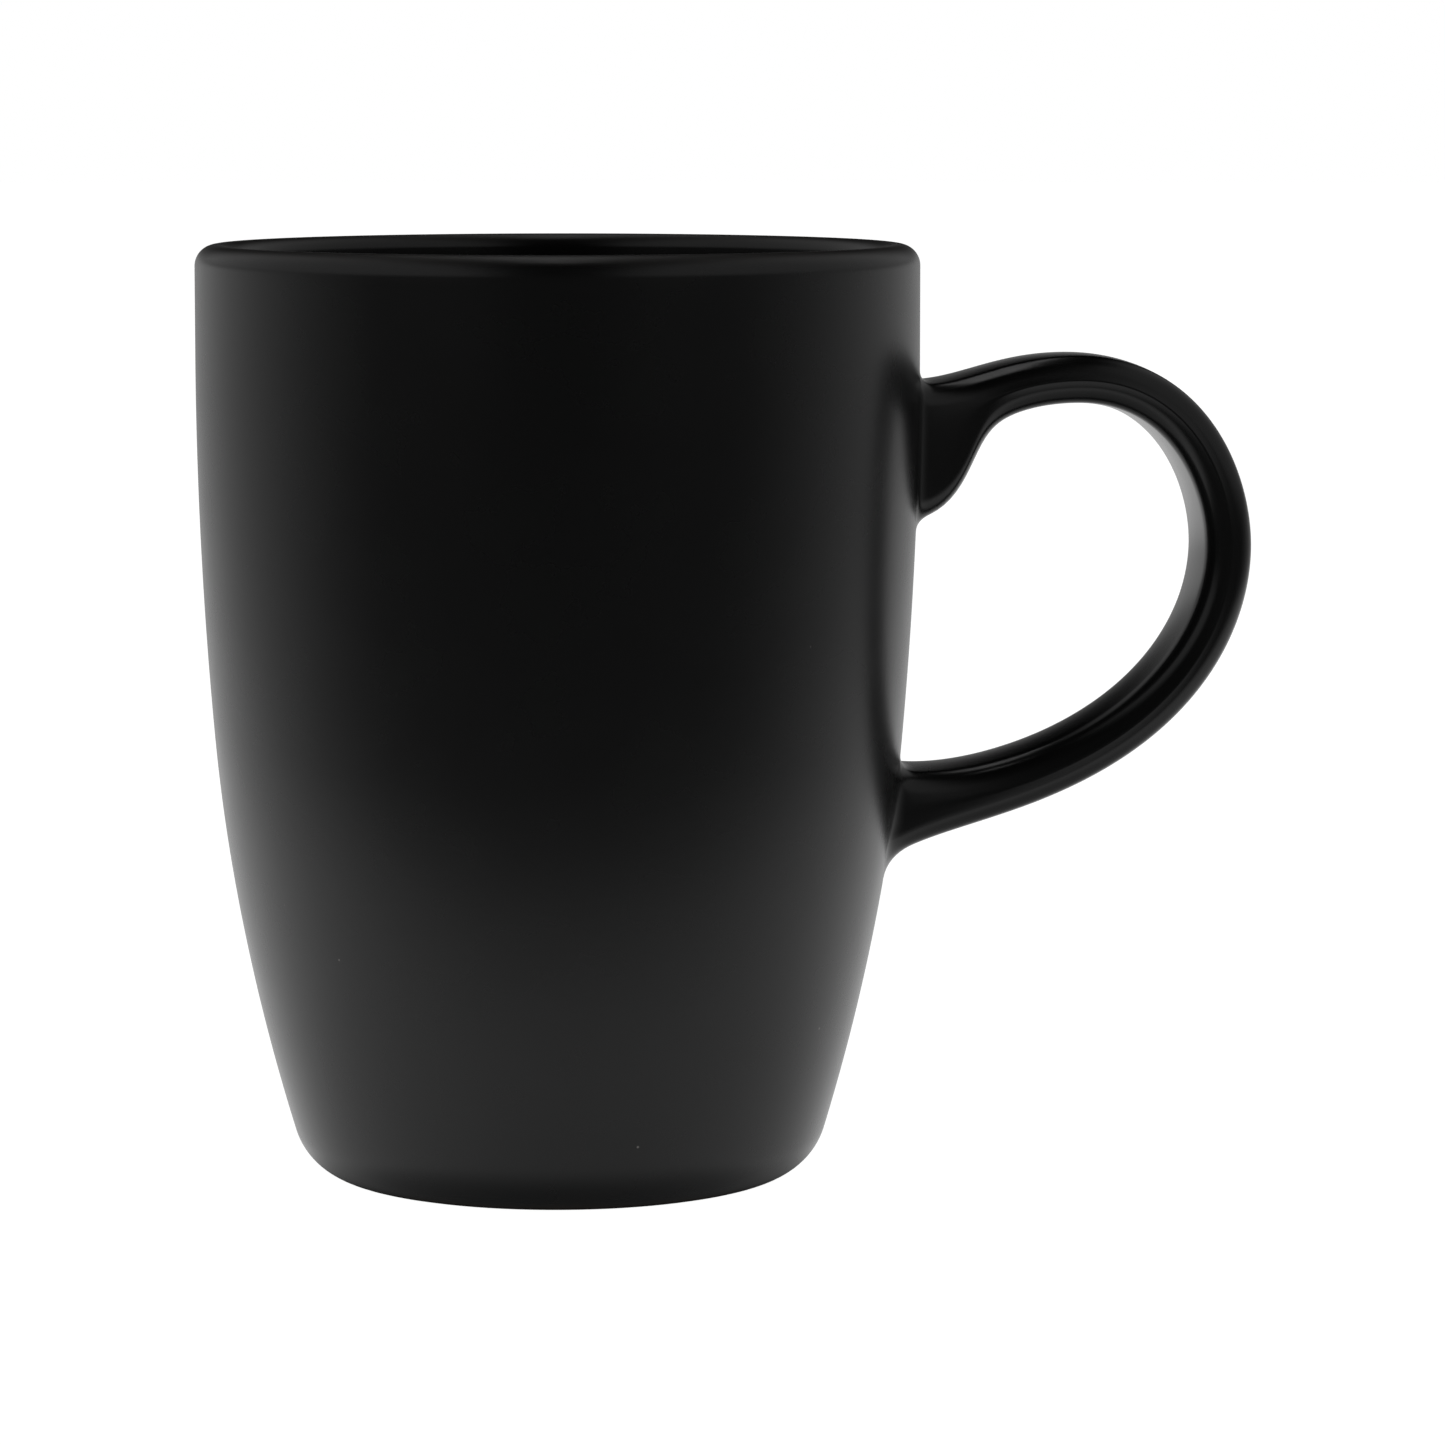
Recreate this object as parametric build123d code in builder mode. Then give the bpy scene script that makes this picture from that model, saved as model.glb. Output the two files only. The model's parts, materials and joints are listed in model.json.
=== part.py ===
"""Glazed stoneware mug with a looped strap handle.

The frame stands at the centre of the foot, on the surface that the mug rests on.
+Z is up, and +X points from the cup's axis to the handle. All sizes are in millimetres.
"""

from build123d import *
from math import cos, exp, radians, sin, sqrt
import os

os.makedirs("parts", exist_ok=True)

# Cup, measured over the glaze.
height = 106.5
rim_diameter = 82.0
wall_thickness = 4.2
floor_thickness = 5.6
lip_outer_rounding = 2.4
lip_flat = 0.2
cavity_corner_rounding = 12.0

# The wall is upright below the lip, then bends in through a belly, a waist and a tapered
# skirt, and turns under at the foot. Each turn is the wall's lean from upright, in degrees.
upright_band = 10.0
waist_top = 50.5
belly_lean = 5.0
waist_radius = 200.0
waist_lean = 9.5
skirt_radius = 236.0
skirt_lean = 16.8

# Foot ring, turned in the clay and left bare.
foot_ring_width = 4.0
foot_ring_step = 0.9
recess_depth = 1.6
recess_rounding = 1.2

# Coats and joints.
glaze_thickness = 0.3
slip_thickness = 0.6

# Centre line of the handle, from the wall out to the crest, round and back to the wall. The
# upper root hangs from the rim, the crest and the outermost point go with it, and the lower
# root stands above the foot.
upper_root_drop = 18.6
crest_standoff = 18.0
crest_rise = 3.1
handle_reach = 35.6
outermost_drop = 16.2
lower_root_height = 42.2
lower_root_slope = 6.2

# Pull of each bend: how far the line keeps its direction on each side of a turning point.
upper_root_pull = 6.2
crest_inner_pull = 7.8
crest_outer_pull = 12.7
outermost_upper_pull = 7.8
outermost_lower_pull = 11.6
lower_root_pull = 28.5

# Handle section. It is a strap with rounded corners that swells at both roots.
crest_thickness = 5.4
grip_thickness = 5.7
handle_width = 13.6
handle_corner = 2.4
thickening_start = 55.0
thickening_length = 30.0
heel_depth = 10.6
heel_length = 3.7
heel_softness = 1.6
lower_root_swell = 1.75
root_width_swell = 1.6
swell_length = 5.8
section_spacing = 6.0
root_section_spacing = 1.5
root_zone = 15.0
embed_depth = 2.0

rim_radius = rim_diameter / 2
lip_inner_rounding = wall_thickness - lip_outer_rounding - lip_flat
upper_root_height = height - upper_root_drop
mid_wall = wall_thickness / 2
mid_floor = recess_depth + floor_thickness / 2
belly_top = height - lip_outer_rounding - upright_band
belly_radius = (belly_top - waist_top) / sin(radians(belly_lean))
waist_bottom = waist_top - waist_radius * (sin(radians(waist_lean)) - sin(radians(belly_lean)))
skirt_drop = skirt_radius * (sin(radians(skirt_lean)) - sin(radians(waist_lean)))
foot_rounding = (waist_bottom - skirt_drop) / (1 - sin(radians(skirt_lean)))


def lean_in(radius, start_lean, end_lean):
    """How far an arc of the wall comes in towards the axis between two leans."""
    return radius * (cos(radians(start_lean)) - cos(radians(end_lean)))


foot_radius = (
    rim_radius
    - lean_in(belly_radius, 0, belly_lean)
    - lean_in(waist_radius, belly_lean, waist_lean)
    - lean_in(skirt_radius, waist_lean, skirt_lean)
    - lean_in(foot_rounding, skirt_lean, 90)
)
ring_outer_radius = foot_radius + foot_ring_step
recess_radius = ring_outer_radius - foot_ring_width


def wall_radius(level):
    """Radius of the glazed outside at a height above the skirt."""
    if level > waist_top:
        drop = max(belly_top - level, 0)
        return rim_radius - belly_radius + sqrt(belly_radius**2 - drop**2)
    waist_drop = waist_top - level + waist_radius * sin(radians(belly_lean))
    waist_top_radius = rim_radius - lean_in(belly_radius, 0, belly_lean)
    waist_centre = waist_top_radius - waist_radius * cos(radians(belly_lean))
    return waist_centre + sqrt(waist_radius**2 - waist_drop**2)


def outside_section(inset, top):
    """Half-section of the cup's full body, `inset` inside the glazed outside."""
    with BuildSketch() as section:
        with BuildLine():
            belly = JernArc((rim_radius - inset, belly_top), (0, -1), belly_radius - inset, -belly_lean)
            waist = JernArc(belly @ 1, belly % 1, waist_radius - inset, belly_lean - waist_lean)
            skirt = JernArc(waist @ 1, waist % 1, skirt_radius - inset, waist_lean - skirt_lean)
            foot = JernArc(skirt @ 1, skirt % 1, foot_rounding - inset, skirt_lean - 90)
            Polyline(foot @ 1, (0, inset), (0, top), (rim_radius - inset, top), belly @ 0)
        make_face()
    return section.sketch_local


def hollow_section(inset, floor_level):
    """Half-section of the space inside the wall surface at `inset`, open past the rim."""
    with BuildSketch() as section:
        add(outside_section(inset, height + wall_thickness))
        with Locations((0, floor_level)):
            Rectangle(rim_diameter, height, align=(Align.MIN, Align.MIN), mode=Mode.INTERSECT)
    return section.sketch_local


def cavity_section(inset):
    """Half-section of the cup's cavity, with its surfaces `inset` under the liner glaze."""
    with BuildSketch() as section:
        add(hollow_section(wall_thickness - inset, recess_depth + floor_thickness - inset))
        floor_corner = section.vertices().group_by(Axis.Y)[0].sort_by(Axis.X)[-1]
        fillet(floor_corner, cavity_corner_rounding + inset)
    return section.sketch_local


def recess_section(inset):
    """Half-section of the hollow under the foot, `inset` outside its glazed surface."""
    with BuildSketch() as section:
        with Locations((0, -recess_depth)):
            Rectangle(
                recess_radius + inset,
                2 * recess_depth + inset,
                align=(Align.MIN, Align.MIN),
            )
        top_corner = section.vertices().group_by(Axis.Y)[-1].sort_by(Axis.X)[-1]
        fillet(top_corner, recess_rounding)
    return section.sketch_local


def cup_section(inset):
    """Half-section of the cup's wall and floor, with its surfaces `inset` under the glaze."""
    with BuildSketch() as section:
        add(outside_section(inset, height - inset))
        add(cavity_section(inset), mode=Mode.SUBTRACT)
        lip_corners = section.vertices().group_by(Axis.Y)[-1].sort_by(Axis.X)
        fillet(lip_corners[-1], lip_outer_rounding - inset)
        lip_corners = section.vertices().group_by(Axis.Y)[-1].sort_by(Axis.X)
        fillet(lip_corners[0], lip_inner_rounding - inset)
    return section.sketch_local


def turned_body(inset):
    """Solid of revolution inside the wall surface at `inset`, used to trim what meets it."""
    with BuildPart() as body:
        with BuildSketch(Plane.XZ):
            add(outside_section(inset, height))
        revolve(axis=Axis.Z)
    return body.part


# Fired clay cup: wall, floor and bare foot ring in one turned piece.
with BuildPart() as clay_cup:
    with BuildSketch(Plane.XZ):
        add(cup_section(glaze_thickness))
        with Locations((recess_radius, 0)):
            Rectangle(foot_ring_width, mid_floor, align=(Align.MIN, Align.MIN))
        add(recess_section(glaze_thickness), mode=Mode.SUBTRACT)
    revolve(axis=Axis.Z)
clay_cup.part.label = "clay_cup"
export_step(clay_cup.part, "parts/clay_cup.step")

# Liner glaze: the coat poured inside, down to the floor and up to the middle of the lip.
with BuildPart() as liner_glaze:
    with BuildSketch(Plane.XZ):
        add(cup_section(0))
        add(cup_section(glaze_thickness), mode=Mode.SUBTRACT)
        add(hollow_section(mid_wall, mid_floor), mode=Mode.INTERSECT)
    revolve(axis=Axis.Z)
liner_glaze.part.label = "liner_glaze"
export_step(liner_glaze.part, "parts/liner_glaze.step")

# Underside glaze: the disc of glaze in the hollow under the foot.
with BuildPart() as underside_glaze:
    with BuildSketch(Plane.XZ):
        add(recess_section(glaze_thickness))
        add(recess_section(0), mode=Mode.SUBTRACT)
        with Locations((0, glaze_thickness)):
            Rectangle(rim_diameter, height, align=(Align.MIN, Align.MIN), mode=Mode.INTERSECT)
    revolve(axis=Axis.Z)
underside_glaze.part.label = "underside_glaze"
export_step(underside_glaze.part, "parts/underside_glaze.step")

# Centre line of the handle, in the plane through the cup's axis.
outward = Vector(1, 0, 0)
upward = Vector(0, 0, 1)
lower_direction = outward.rotate(Axis.Y, -lower_root_slope)
upper_root = outward * wall_radius(upper_root_height) + upward * upper_root_height
crest = upper_root + outward * crest_standoff + upward * crest_rise
outermost = upper_root + outward * handle_reach - upward * outermost_drop
lower_root = outward * wall_radius(lower_root_height) + upward * lower_root_height

with BuildLine() as handle_line:
    Line(upper_root - outward * embed_depth, upper_root)
    Bezier(
        upper_root,
        upper_root + outward * upper_root_pull,
        crest - outward * crest_inner_pull,
        crest,
    )
    Bezier(
        crest,
        crest + outward * crest_outer_pull,
        outermost + upward * outermost_upper_pull,
        outermost,
    )
    Bezier(
        outermost,
        outermost - upward * outermost_lower_pull,
        lower_root + lower_direction * lower_root_pull,
        lower_root,
    )
    Line(lower_root, lower_root - lower_direction * embed_depth)

handle_path = handle_line.wire()
path_length = handle_path.length


def station_distances():
    """Distances along the path of the handle's sections, closer together at the roots."""
    root_steps = round(root_zone / root_section_spacing)
    middle_steps = round((path_length - 2 * root_zone) / section_spacing)
    middle_spacing = (path_length - 2 * root_zone) / middle_steps
    upper = [step * root_section_spacing for step in range(root_steps)]
    middle = [root_zone + step * middle_spacing for step in range(middle_steps)]
    lower = [path_length - step * root_section_spacing for step in range(root_steps, -1, -1)]
    return upper + middle + lower


def handle_section(distance, inset):
    """Section of the handle at a distance along its path, `inset` under the glaze."""
    from_upper_wall = distance - embed_depth
    from_lower_wall = path_length - embed_depth - distance
    thickening = min(max((from_upper_wall - thickening_start) / thickening_length, 0), 1)
    half_strap = (crest_thickness + (grip_thickness - crest_thickness) * thickening) / 2
    lower_swell = exp(-max(from_lower_wall, 0) / swell_length)
    upper_swell = exp(-max(from_upper_wall, 0) / swell_length)
    heel = heel_depth / (1 + exp((max(from_upper_wall, 0) - heel_length) / heel_softness))
    outer_half = half_strap + lower_root_swell * lower_swell
    inner_half = outer_half + heel
    width = handle_width + 2 * root_width_swell * (upper_swell + lower_swell)
    centre = handle_path.position_at(distance, position_mode=PositionMode.LENGTH)
    direction = handle_path.tangent_at(distance, position_mode=PositionMode.LENGTH)
    plane = Plane(origin=centre, x_dir=(0, 1, 0), z_dir=direction)
    with BuildSketch(plane) as section:
        with Locations((0, (outer_half - inner_half) / 2)):
            RectangleRounded(
                width - 2 * inset,
                outer_half + inner_half - 2 * inset,
                handle_corner - inset,
            )
    return section.sketch


def handle_loft(inset):
    """Solid handle, `inset` under the glaze, with both ends buried in the cup's wall."""
    with BuildPart() as handle:
        for distance in station_distances():
            add(handle_section(distance, inset))
        loft()
    return handle.part


glazed_handle = handle_loft(0)
bare_handle = handle_loft(glaze_thickness)
glazed_body = turned_body(0)
clay_body = turned_body(glaze_thickness)
slip_body = turned_body(glaze_thickness - slip_thickness)

# Outer glaze: the satin coat over the wall and the lip, open where the handle is luted on.
with BuildPart() as outer_glaze:
    with BuildSketch(Plane.XZ):
        add(cup_section(0))
        add(cup_section(glaze_thickness), mode=Mode.SUBTRACT)
        add(hollow_section(mid_wall, mid_floor), mode=Mode.SUBTRACT)
        Rectangle(ring_outer_radius, mid_floor, align=(Align.MIN, Align.MIN), mode=Mode.SUBTRACT)
    revolve(axis=Axis.Z)
    add(bare_handle, mode=Mode.SUBTRACT)
outer_glaze.part.label = "outer_glaze"
export_step(outer_glaze.part, "parts/outer_glaze.step")

# Clay handle, cut to the cup's curve with room for the slip.
with BuildPart() as clay_handle:
    add(bare_handle)
    add(slip_body, mode=Mode.SUBTRACT)
clay_handle.part.label = "clay_handle"
export_step(clay_handle.part, "parts/clay_handle.step")

# Slip joints: the liquid clay that lutes each end of the handle to the cup.
with BuildPart() as slip_joints:
    add(bare_handle)
    add(slip_body, mode=Mode.INTERSECT)
    add(clay_body, mode=Mode.SUBTRACT)

lower_joint, upper_joint = slip_joints.solids().sort_by(Axis.Z)

with BuildPart() as upper_slip_joint:
    add(upper_joint)
upper_slip_joint.part.label = "upper_slip_joint"
export_step(upper_slip_joint.part, "parts/upper_slip_joint.step")

with BuildPart() as lower_slip_joint:
    add(lower_joint)
lower_slip_joint.part.label = "lower_slip_joint"
export_step(lower_slip_joint.part, "parts/lower_slip_joint.step")

# Handle glaze: the coat round the handle and over the edges of both slip joints.
with BuildPart() as handle_glaze:
    add(glazed_handle)
    add(bare_handle, mode=Mode.SUBTRACT)
    add(glazed_body, mode=Mode.SUBTRACT)
handle_glaze.part.label = "handle_glaze"
export_step(handle_glaze.part, "parts/handle_glaze.step")
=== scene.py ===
"""Satin black stoneware mug: smooth glaze coats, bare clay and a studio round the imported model.

Everything is in metres, in the model's own frame: the origin is at the centre of the foot, +Z is
up, and +X points from the cup's axis to the handle.
"""

import json
import math

import bpy
import numpy as np
from bpy.props import FloatProperty, FloatVectorProperty, IntProperty, PointerProperty
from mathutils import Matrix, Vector

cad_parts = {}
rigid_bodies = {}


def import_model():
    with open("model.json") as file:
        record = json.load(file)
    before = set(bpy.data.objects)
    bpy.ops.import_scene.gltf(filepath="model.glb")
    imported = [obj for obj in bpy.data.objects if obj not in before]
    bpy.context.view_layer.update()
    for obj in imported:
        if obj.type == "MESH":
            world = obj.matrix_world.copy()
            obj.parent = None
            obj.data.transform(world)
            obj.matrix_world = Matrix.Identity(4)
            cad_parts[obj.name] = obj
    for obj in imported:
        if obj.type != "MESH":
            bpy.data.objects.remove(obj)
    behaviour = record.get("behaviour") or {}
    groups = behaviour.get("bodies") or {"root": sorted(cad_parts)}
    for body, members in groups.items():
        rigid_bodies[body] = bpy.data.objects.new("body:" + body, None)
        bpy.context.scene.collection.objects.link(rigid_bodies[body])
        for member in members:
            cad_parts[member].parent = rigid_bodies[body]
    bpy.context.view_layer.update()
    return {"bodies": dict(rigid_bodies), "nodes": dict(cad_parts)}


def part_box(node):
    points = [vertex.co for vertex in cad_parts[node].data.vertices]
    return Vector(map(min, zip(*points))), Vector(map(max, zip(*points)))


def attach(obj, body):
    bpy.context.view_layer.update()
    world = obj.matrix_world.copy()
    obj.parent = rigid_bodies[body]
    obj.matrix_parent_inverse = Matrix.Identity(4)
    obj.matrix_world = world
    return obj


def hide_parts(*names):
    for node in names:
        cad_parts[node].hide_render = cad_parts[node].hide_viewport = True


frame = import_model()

bl_info = {
    "name": "Satin Mug",
    "version": (1, 0, 0),
    "blender": (4, 5, 0),
    "location": "3D View > Sidebar > Mug",
    "description": "Glaze coats, bare clay and a studio for a tall mug with a looped handle",
    "category": "Object",
}

MM = 0.001
BODY = next(iter(frame["bodies"]))
RIM_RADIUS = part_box("outer_glaze")[1].x
CUP_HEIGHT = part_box("liner_glaze")[1].z


def length(name, description, millimetres):
    """A length property, given in millimetres and kept in metres."""
    return FloatProperty(
        name=name,
        description=description,
        default=millimetres * MM,
        precision=5,
        unit="LENGTH",
    )


def lean(name, description, degrees):
    """An angle property, given in degrees and kept in radians."""
    return FloatProperty(
        name=name, description=description, default=math.radians(degrees), subtype="ANGLE"
    )


def share(name, description, default):
    """A number from 0 to 1."""
    return FloatProperty(
        name=name, description=description, default=default, min=0, max=1, subtype="FACTOR"
    )


def tint(name, description, default):
    """A linear colour property."""
    return FloatVectorProperty(
        name=name, description=description, default=default, min=0, max=1, size=3, subtype="COLOR"
    )


class CupSizes(bpy.types.PropertyGroup):
    """Sizes of the turned cup, over the glaze."""

    rim_radius: length("Rim radius", "Outside radius of the upright band", RIM_RADIUS / MM)
    height: length("Height", "From the foot to the top of the lip", CUP_HEIGHT / MM)
    wall: length("Wall", "Thickness of the wall with both coats", 4.2)
    floor: length("Floor", "Thickness of the floor with both coats", 5.6)
    lip_outside: length("Lip outside", "Rounding of the lip's outer edge", 2.4)
    lip_flat: length("Lip flat", "Width of the level top of the lip", 0.2)
    upright_band: length("Upright band", "Straight wall under the lip", 10)
    waist_top: length("Waist top", "Height at which the belly ends", 50.5)
    belly_lean: lean("Belly lean", "Lean of the wall at the end of the belly", 5)
    waist_radius: length("Waist radius", "Radius of the bend under the belly", 200)
    waist_lean: lean("Waist lean", "Lean of the wall at the end of the waist", 9.5)
    skirt_radius: length("Skirt radius", "Radius of the bend above the foot", 236)
    skirt_lean: lean("Skirt lean", "Lean of the wall at the end of the skirt", 16.8)
    cavity_corner: length("Cavity corner", "Rounding between the wall and the floor", 12)
    ring_step: length("Ring step", "How far the bare ring shows outside the foot's turn", 0.9)
    ring_width: length("Ring width", "Width of the bare foot ring", 4)
    recess_depth: length("Recess depth", "Depth of the hollow under the foot", 1.6)
    recess_corner: length("Recess corner", "Rounding inside the hollow under the foot", 1.2)
    coat: length("Coat", "Thickness of each glaze coat", 0.3)
    spacing: length("Spacing", "Greatest distance between rings of the turned meshes", 1.0)
    segments: IntProperty(
        name="Segments", description="Faces round each turned coat", default=256, min=64
    )


class HandleSizes(bpy.types.PropertyGroup):
    """Centre line, strap and roots of the handle, over the glaze."""

    upper_drop: length("Upper root drop", "From the rim down to the upper root", 18.6)
    crest_standoff: length("Crest stand-off", "From the wall out to the crest", 18)
    crest_rise: length("Crest rise", "From the upper root up to the crest", 3.1)
    reach: length("Reach", "From the wall out to the outermost point", 35.6)
    outermost_drop: length("Outermost drop", "From the upper root to the outermost point", 16.2)
    lower_height: length("Lower root height", "From the foot up to the lower root", 42.2)
    lower_slope: lean("Lower root slope", "Rise of the line as it leaves the lower root", 6.2)
    upper_root_pull: length("Upper root pull", "Straightness outside the upper root", 6.2)
    crest_inner_pull: length("Crest inner pull", "Straightness on the crest's cup side", 7.8)
    crest_outer_pull: length("Crest outer pull", "Straightness on the crest's far side", 12.7)
    outermost_upper_pull: length("Outermost upper pull", "Straightness above the outermost point", 7.8)
    outermost_lower_pull: length("Outermost lower pull", "Straightness below the outermost point", 11.6)
    lower_root_pull: length("Lower root pull", "Straightness outside the lower root", 28.5)
    crest_thickness: length("Crest thickness", "Thickness of the strap at the crest", 5.4)
    grip_thickness: length("Grip thickness", "Thickness of the strap at the grip", 5.7)
    thickening_start: length("Thickening start", "Where the strap starts to thicken", 55)
    thickening: length("Thickening", "Length over which the strap thickens", 30)
    width: length("Width", "Width of the strap", 13.6)
    corner: length("Corner", "Rounding of the strap's edges", 2.4)
    face_crown: length("Face crown", "Rise of the inner and outer faces at their middle", 0.12)
    side_crown: length("Side crown", "Rise of the side faces at their middle", 0.1)
    heel_depth: length("Heel depth", "Depth of the heel under the upper root", 10.6)
    heel_length: length("Heel length", "How far out the heel reaches", 3.7)
    heel_softness: length("Heel softness", "How gradually the heel ends", 1.6)
    lower_swell: length("Lower swell", "Thickening of the strap at the lower root", 1.75)
    width_swell: length("Width swell", "Widening of each side at both roots", 1.6)
    swell_length: length("Swell length", "How quickly the swells fade from the wall", 5.8)
    upper_fillet: length("Upper fillet", "Length of the fillet round the upper root", 1.7)
    lower_fillet: length("Lower fillet", "Length of the fillet round the lower root", 1.9)
    underside_fillet: length("Underside fillet", "Extra fillet under the lower root", 1.3)
    rings: IntProperty(name="Rings", description="Faces along the handle", default=190, min=40)


class GlazeFinish(bpy.types.PropertyGroup):
    """Look of the satin glaze on every coat."""

    colour: tint("Colour", "Colour where the glaze is thick", (0.0036, 0.0037, 0.0037))
    thin_colour: tint("Thin colour", "Colour where the glaze breaks over an edge", (0.016, 0.013, 0.011))
    fleck_colour: tint("Fleck colour", "Colour of the rare pale flecks", (0.11, 0.105, 0.1))
    cup_roughness: share("Cup roughness", "Softness of the reflections on the cup", 0.27)
    handle_roughness: share("Handle roughness", "Softness of the reflections on the handle", 0.22)
    cloudiness: share("Cloudiness", "How much the roughness changes from place to place", 0.06)
    thin_dullness: share("Thin dullness", "How much rougher the glaze is where it is thin", 0.3)
    peel: length("Peel", "Size of the fine ripple of the glaze", 0.9)
    peel_height: length("Peel height", "Height of the fine ripple", 0.004)
    sag: length("Sag", "Size of the slow waves of the glaze", 14)
    sag_height: length("Sag height", "Height of the slow waves", 0.03)


class ClayFinish(bpy.types.PropertyGroup):
    """Look of the bare stoneware and the slip."""

    colour: tint("Colour", "Colour of the fired clay", (0.055, 0.049, 0.044))
    dark_colour: tint("Dark colour", "Colour of the iron spots", (0.012, 0.01, 0.009))
    grog_colour: tint("Grog colour", "Colour of the pale grains", (0.2, 0.18, 0.16))
    slip_colour: tint("Slip colour", "Colour of the fired slip", (0.075, 0.068, 0.06))
    grain: length("Grain", "Size of the grains", 0.5)
    grain_height: length("Grain height", "Height of the grains", 0.03)
    roughness: share("Roughness", "Roughness of the bare clay", 0.8)


class StudioSizes(bpy.types.PropertyGroup):
    """Camera, lamps and floor."""

    camera_distance: length("Camera distance", "From the cup's axis to the camera", 730.8)
    camera_height: length("Camera height", "Height of the camera above the floor", 130)
    view_turn: lean("View turn", "How far the camera stands round, away from the handle", 6)
    aim_side: length("Aim side", "How far beside the cup's axis the camera looks", 18.63)
    aim_height: length("Aim height", "Height at which the camera looks", 51.98)
    lens: FloatProperty(
        name="Lens", description="Focal length of the camera", default=160.53, unit="CAMERA"
    )
    lamp_distance: length("Lamp distance", "From the lip to each overhead lamp", 900)
    lamp_width: length("Lamp width", "Width of each overhead lamp", 60)
    lamp_length: length("Lamp length", "Length of each overhead lamp", 950)
    lamp_rise: lean("Lamp rise", "Height of the lamps above the horizon behind the mug", 72)
    lamp_power: FloatProperty(
        name="Lamp power", description="Power of each overhead lamp", default=0.15, unit="POWER"
    )
    floor_radius: length("Floor radius", "Radius of the pale floor", 5000)
    # The foot shade is a painted shadow: a dark patch under the foot that only reflections see.
    shade_radius: length("Shade radius", "Radius of the dark patch under the foot", 24)
    shade_fade: length("Shade fade", "Width over which the dark patch fades", 10)


class Wire:
    """An output of a node tree: sums on it add Math nodes, and `node` adds any other node."""

    def __init__(self, tree, socket=None):
        self.tree = tree
        self.socket = socket

    def node(self, kind, settings=None, values=None, output=0):
        """Add a node, apply its settings, fill its sockets and give one of its outputs."""
        made = self.tree.nodes.new(kind)
        for name, value in (settings or {}).items():
            if name == "stops":
                self.set_stops(made.color_ramp, value)
            else:
                setattr(made, name, value)
        for name, value in (values or {}).items():
            if isinstance(value, Wire):
                self.tree.links.new(value.socket, made.inputs[name])
            else:
                made.inputs[name].default_value = value
        return Wire(self.tree, made.outputs[output] if made.outputs else None)

    def set_stops(self, ramp, stops):
        """Give a colour ramp its stops, each a position and a brightness."""
        while len(ramp.elements) < len(stops):
            ramp.elements.new(0.5)
        for element, (position, brightness) in zip(ramp.elements, stops):
            element.position = position
            element.color = (brightness, brightness, brightness, 1)

    def math(self, operation, *values):
        """Add a Math node on the values given, or on this one alone."""
        filled = dict(enumerate(values or (self,)))
        return self.node("ShaderNodeMath", {"operation": operation}, filled)

    def mix(self, other, factor):
        """Mix from this colour to another one."""
        values = {0: factor, 6: self, 7: other}
        return self.node("ShaderNodeMix", {"data_type": "RGBA"}, values, 2)

    def parts(self):
        """The x, y and z of this vector."""
        made = self.node("ShaderNodeSeparateXYZ", {}, {"Vector": self}).socket.node
        return [Wire(self.tree, socket) for socket in made.outputs]

    def fade(self, start, end):
        """Go smoothly from 0 where this value is at `start` to 1 where it is at `end`."""
        settings = {"interpolation_type": "SMOOTHSTEP"}
        values = {"Value": self, "From Min": start, "From Max": end}
        return self.node("ShaderNodeMapRange", settings, values)

    def __add__(self, other):
        return self.math("ADD", self, other)

    def __sub__(self, other):
        return self.math("SUBTRACT", self, other)

    def __rsub__(self, other):
        return self.math("SUBTRACT", other, self)

    def __mul__(self, other):
        return self.math("MULTIPLY", self, other)

    def __truediv__(self, other):
        return self.math("DIVIDE", self, other)

    __radd__ = __add__
    __rmul__ = __mul__


def paint(wires, colour):
    """A fixed colour, from a colour property."""
    made = wires.node("ShaderNodeRGB")
    made.socket.default_value = (*colour, 1)
    return made


def new_material(name):
    """An empty material, and the wire that its nodes are added with."""
    material = bpy.data.materials.new(name)
    material.use_nodes = True
    material.node_tree.nodes.clear()
    return material, Wire(material.node_tree)


def close_material(wires, colour, roughness, height):
    """Join the colour, roughness and relief to a shader and the material's output."""
    normal = wires.node("ShaderNodeBump", {}, {"Strength": 1, "Distance": 1, "Height": height})
    shader = wires.node(
        "ShaderNodeBsdfPrincipled",
        {},
        {"Base Color": colour, "Roughness": roughness, "Normal": normal, "IOR": 1.5},
    )
    wires.node("ShaderNodeOutputMaterial", {}, {"Surface": shader})


def noise(wires, place, size, detail=2.0):
    """Smooth noise with features of a given size, in metres."""
    values = {"Vector": place, "Scale": 1 / size, "Detail": detail}
    return wires.node("ShaderNodeTexNoise", {}, values, "Fac")


def glaze_material(name, roughness_rule, thinning_rule):
    """Satin black glaze: its rules give its roughness and how thin it is at a place."""
    finish = bpy.context.scene.glaze_finish
    material, wires = new_material(name)
    place = wires.node("ShaderNodeTexCoord", output="Object")
    x, y, z = place.parts()
    radius = (x * x + y * y).math("SQRT")

    peel = noise(wires, place, finish.peel)
    sag = noise(wires, place, finish.sag, 1)
    clouds = noise(wires, place, finish.sag * 0.6, 4)
    cells = {"Vector": place, "Scale": 1 / (finish.peel * 3)}
    fleck = wires.node("ShaderNodeTexVoronoi", {}, cells, "Distance")
    rare = wires.node("ShaderNodeTexVoronoi", {}, cells, "Color").parts()[0].fade(0.985, 0.99)
    flecks = (1 - fleck.fade(0.03, 0.07)) * rare

    thinness = thinning_rule(radius, z) * (0.6 + clouds * 0.8)
    thick = paint(wires, finish.colour)
    thin = paint(wires, finish.thin_colour)
    pale = paint(wires, finish.fleck_colour)
    colour = thick.mix(thin, thinness).mix(pale, flecks)

    roughness = roughness_rule(radius) + (clouds - 0.5) * finish.cloudiness
    roughness = roughness + thinness * finish.thin_dullness
    height = peel * finish.peel_height + sag * finish.sag_height
    close_material(wires, colour, roughness, height)
    return material


def no_thinning(radius, level):
    """An even coat."""
    return 0


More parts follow.
